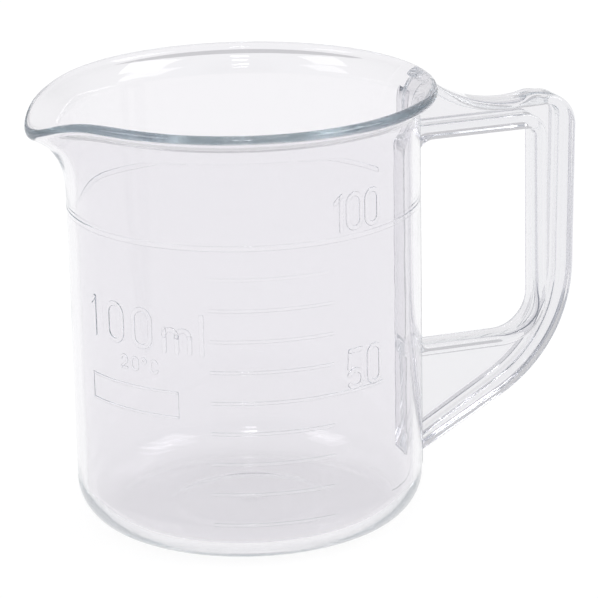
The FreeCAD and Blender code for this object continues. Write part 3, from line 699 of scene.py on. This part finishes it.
# ---------------------------------------------------------------- light
CAMERA_AZIMUTH, CAMERA_ELEVATION = -108.5, 17.5    # where the camera stands, seen from the cup
ROOM_BACK = (0.70, 0.70, 0.71, 1)
ROOM_FRONT = (0.52, 0.56, 0.62, 1)
AROUND_CAMERA = (0.22, 0.24, 0.28, 1)
LAMPS = (                    # azimuth, elevation, half width, half height, brightness
    (CAMERA_AZIMUTH - 68, 40, 0.22, 0.22, 3.5),
    (CAMERA_AZIMUTH + 76, 40, 0.30, 0.24, 4.0),
    (CAMERA_AZIMUTH, 38, 0.09, 0.05, 12.0),
    (CAMERA_AZIMUTH, 52, 0.09, 0.06, 12.0))


def direction(azimuth, elevation=0.0):
    """The unit vector towards an azimuth and elevation."""
    a, e = math.radians(azimuth), math.radians(elevation)
    return Vector((math.cos(a) * math.cos(e), math.sin(a) * math.cos(e), math.sin(e)))


class WorldNodes:
    """Small helpers that build the world's shader from directions."""

    def __init__(self):
        world = bpy.data.worlds.new("studio")
        bpy.context.scene.world = world
        world.use_nodes = True
        self.tree = world.node_tree
        self.tree.nodes.clear()
        self.direction = self.add("ShaderNodeTexCoord").outputs["Generated"]

    def add(self, kind, **values):
        node = self.tree.nodes.new(kind)
        for key, value in values.items():
            setattr(node, key, value)
        return node

    def put(self, socket, value):
        if hasattr(value, "is_output"):
            self.tree.links.new(value, socket)
        else:
            socket.default_value = value

    def dot(self, axis):
        node = self.add("ShaderNodeVectorMath", operation="DOT_PRODUCT")
        self.put(node.inputs[0], self.direction)
        self.put(node.inputs[1], tuple(axis))
        return node.outputs["Value"]

    def math(self, operation, a, b=0.0):
        node = self.add("ShaderNodeMath", operation=operation)
        self.put(node.inputs[0], a)
        self.put(node.inputs[1], b)
        return node.outputs[0]

    def ramp(self, value, low, high):
        """0 below low and 1 above high, smooth between."""
        node = self.add("ShaderNodeMapRange", interpolation_type="SMOOTHSTEP")
        self.put(node.inputs["Value"], value)
        self.put(node.inputs["From Min"], low)
        self.put(node.inputs["From Max"], high)
        return node.outputs["Result"]

    def mix(self, factor, a, b):
        node = self.add("ShaderNodeMix", data_type="RGBA")
        self.put(node.inputs["Factor"], factor)
        self.put(node.inputs[6], a)
        self.put(node.inputs[7], b)
        return node.outputs[2]

    def box(self, azimuth, elevation, half_wide, half_high, soft=0.03):
        """A soft-edged rectangle of light in a direction, as a mask."""
        centre = direction(azimuth, elevation)
        side = direction(azimuth + 90)
        up = centre.cross(side)
        wide = self.math("ABSOLUTE", self.dot(side))
        high = self.math("ABSOLUTE", self.dot(up))
        in_wide = self.math("SUBTRACT", 1.0, self.ramp(wide, half_wide - soft, half_wide))
        in_high = self.math("SUBTRACT", 1.0, self.ramp(high, half_high - soft, half_high))
        ahead = self.ramp(self.dot(centre), 0.0, 0.1)
        return self.math("MULTIPLY", self.math("MULTIPLY", in_wide, in_high), ahead)


def make_world():
    """A bright soft room, darker on the camera's side, with soft boxes and two small lamps."""
    sky = WorldNodes()
    toward_camera = sky.dot(direction(CAMERA_AZIMUTH))
    colour = sky.mix(sky.ramp(toward_camera, -0.2, 0.8), ROOM_BACK, ROOM_FRONT)
    lens_side = sky.dot(direction(CAMERA_AZIMUTH, CAMERA_ELEVATION))
    colour = sky.mix(sky.ramp(lens_side, 0.86, 0.95), colour, AROUND_CAMERA)
    for azimuth, elevation, wide, high, level in LAMPS:
        mask = sky.box(azimuth, elevation, wide, high)
        colour = sky.mix(mask, colour, (level, level, level, 1))
    background = sky.add("ShaderNodeBackground")
    sky.put(background.inputs["Color"], colour)
    output = sky.add("ShaderNodeOutputWorld")
    sky.tree.links.new(background.outputs[0], output.inputs[0])


FLOOR_SIZE, FLOOR_DROP = 8.0, 0.0002       # in metres


def make_floor():
    """One wide flat sheet, just under the cup."""
    bpy.ops.mesh.primitive_plane_add(size=FLOOR_SIZE, location=(0, 0, -FLOOR_DROP))
    floor = bpy.context.object
    floor.name = "floor"
    floor.data.materials.append(floor_material())


HEADING, DOWN, ROLL = 19.36, 17.505, -1.19     # from +Y towards +X, below level, and its tilt
CAMERA_PLACE = (-0.17347, -0.51844, 0.20641)   # in metres
LENS, SENSOR = 223.15, 36.0


def make_camera():
    """The main view: from the spout's left front, a little above the rim."""
    data = bpy.data.cameras.new("camera")
    data.lens, data.sensor_width = LENS, SENSOR
    camera = bpy.data.objects.new("camera", data)
    bpy.context.scene.collection.objects.link(camera)
    heading, down, roll = math.radians(HEADING), math.radians(DOWN), math.radians(ROLL)
    forward = Vector((math.sin(heading) * math.cos(down), math.cos(heading) * math.cos(down),
                      -math.sin(down)))
    right = Vector((math.cos(heading), -math.sin(heading), 0))
    up = right.cross(forward)
    right_rolled = right * math.cos(roll) + up * math.sin(roll)
    up_rolled = up * math.cos(roll) - right * math.sin(roll)
    turn = Matrix((right_rolled, up_rolled, -forward)).transposed()
    camera.matrix_world = Matrix.Translation(CAMERA_PLACE) @ turn.to_4x4()
    bpy.context.scene.camera = camera


# ---------------------------------------------------------------- put it together
BOUNCES = 256                # light crosses many faces on its way through the rails

cup_plastic = clear_plastic("clear_plastic", CUP_TINT)
handle_plastic = clear_plastic("clear_plastic_handle", HANDLE_TINT)
mark_plastic = clear_plastic("clear_plastic_marks", NO_TINT)
cup = make_cup()
handle = make_handle()
for piece in [cup, handle] + make_marks():
    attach(piece, "root")
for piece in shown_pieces():
    piece.data.materials.clear()
    piece.data.materials.append({cup: cup_plastic, handle: handle_plastic}.get(piece, mark_plastic))

make_floor()
make_world()
make_camera()
scene = bpy.context.scene
scene.view_settings.view_transform = "Standard"
scene.cycles.max_bounces = BOUNCES
scene.cycles.transmission_bounces = BOUNCES
scene.cycles.glossy_bounces = BOUNCES
